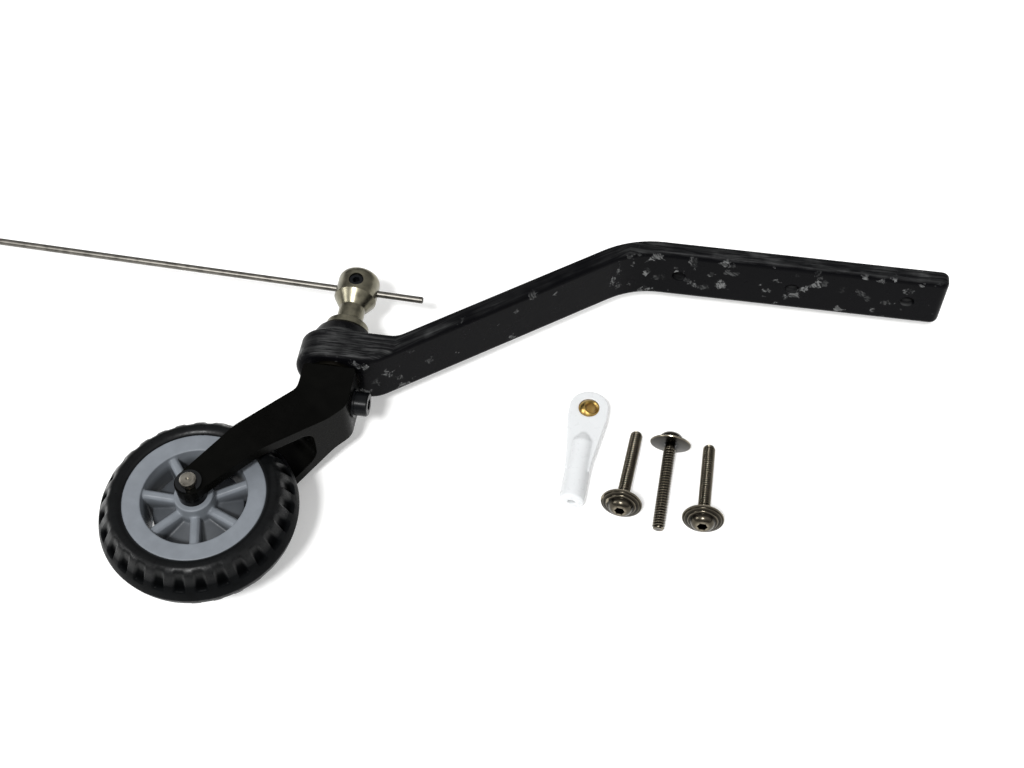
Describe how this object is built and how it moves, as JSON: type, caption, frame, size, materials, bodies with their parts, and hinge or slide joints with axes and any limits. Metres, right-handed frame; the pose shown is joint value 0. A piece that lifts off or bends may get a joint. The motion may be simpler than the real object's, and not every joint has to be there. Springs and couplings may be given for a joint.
{
  "type": "steerable tailwheel assembly",
  "caption": "Steerable tailwheel for a large model aeroplane: bent arm, clamped fork on a steering post, spoked wheel with grooved tyre, tiller wire, and loose ball link and flanged screws.",
  "frame": {"origin": "middle mounting hole, where its axis meets the mounting face", "axes": "+X along the mounting strap to its free end, +Y out of the mounting face and parallel to the steering axis, +Z sideways; the assembly lies on its side, as it was pictured"},
  "size_m": [0.252, 0.105, 0.0274],
  "materials": {
    "carbon": "moulded forged carbon with grey flakes, satin",
    "bushing": "oiled sintered iron, dark",
    "steel": "turned stainless steel, lightly polished",
    "wire": "drawn spring steel",
    "black_aluminium": "black anodised",
    "black_steel": "black oxide",
    "black_nylon": "moulded",
    "hub_nylon": "moulded grey nylon, satin",
    "tyre_rubber": "moulded rubber",
    "white_nylon": "moulded white nylon, slightly translucent",
    "brass": "turned brass",
    "screw_steel": "stainless steel, bright"
  },
  "bodies": {
    "arm_body": {"arm": "carbon", "upper_bushing": "bushing", "lower_bushing": "bushing", "ball_link_body": "white_nylon", "mount_screw_1": "screw_steel", "mount_screw_2": "screw_steel", "mount_screw_3": "screw_steel"},
    "steering": {"steering_post": "steel", "wire_set_screw": "black_steel", "upper_washer": "steel", "lower_washer": "steel", "fork": "black_aluminium", "fork_clamp_washer": "black_steel", "fork_clamp_screw": "black_steel", "axle": "steel", "axle_clip_upper": "black_steel", "axle_clip_lower": "black_steel", "axle_spacer_upper": "black_nylon", "axle_spacer_lower": "black_nylon"},
    "wheel": {"wheel_hub": "hub_nylon", "wheel_tyre": "tyre_rubber"},
    "tiller": {"tiller_wire": "wire"},
    "link_ball": {"ball_link_ball": "brass"}
  },
  "joints": [
    {"name": "steering_pivot", "type": "hinge", "parent": "arm_body", "child": "steering", "pos_m": [-0.1026, -0.04, 0], "axis": [0, 1, 0], "range_deg": [-45, 45]},
    {"name": "wheel_spin", "type": "hinge", "parent": "steering", "child": "wheel", "pos_m": [-0.12385, -0.0833, 0], "axis": [0, 0, 1], "continuous": true},
    {"name": "tiller_slide", "type": "slide", "parent": "steering", "child": "tiller", "axis": [-0.9992, 0, 0.0401], "range_m": [-0.008, 0.008]},
    {"name": "ball_swivel", "type": "hinge", "parent": "arm_body", "child": "link_ball", "pos_m": [-0.0441, -0.0387, -0.01075], "axis": [0.0366, 0.9993, 0], "range_deg": [-46, 10]}
  ]
}
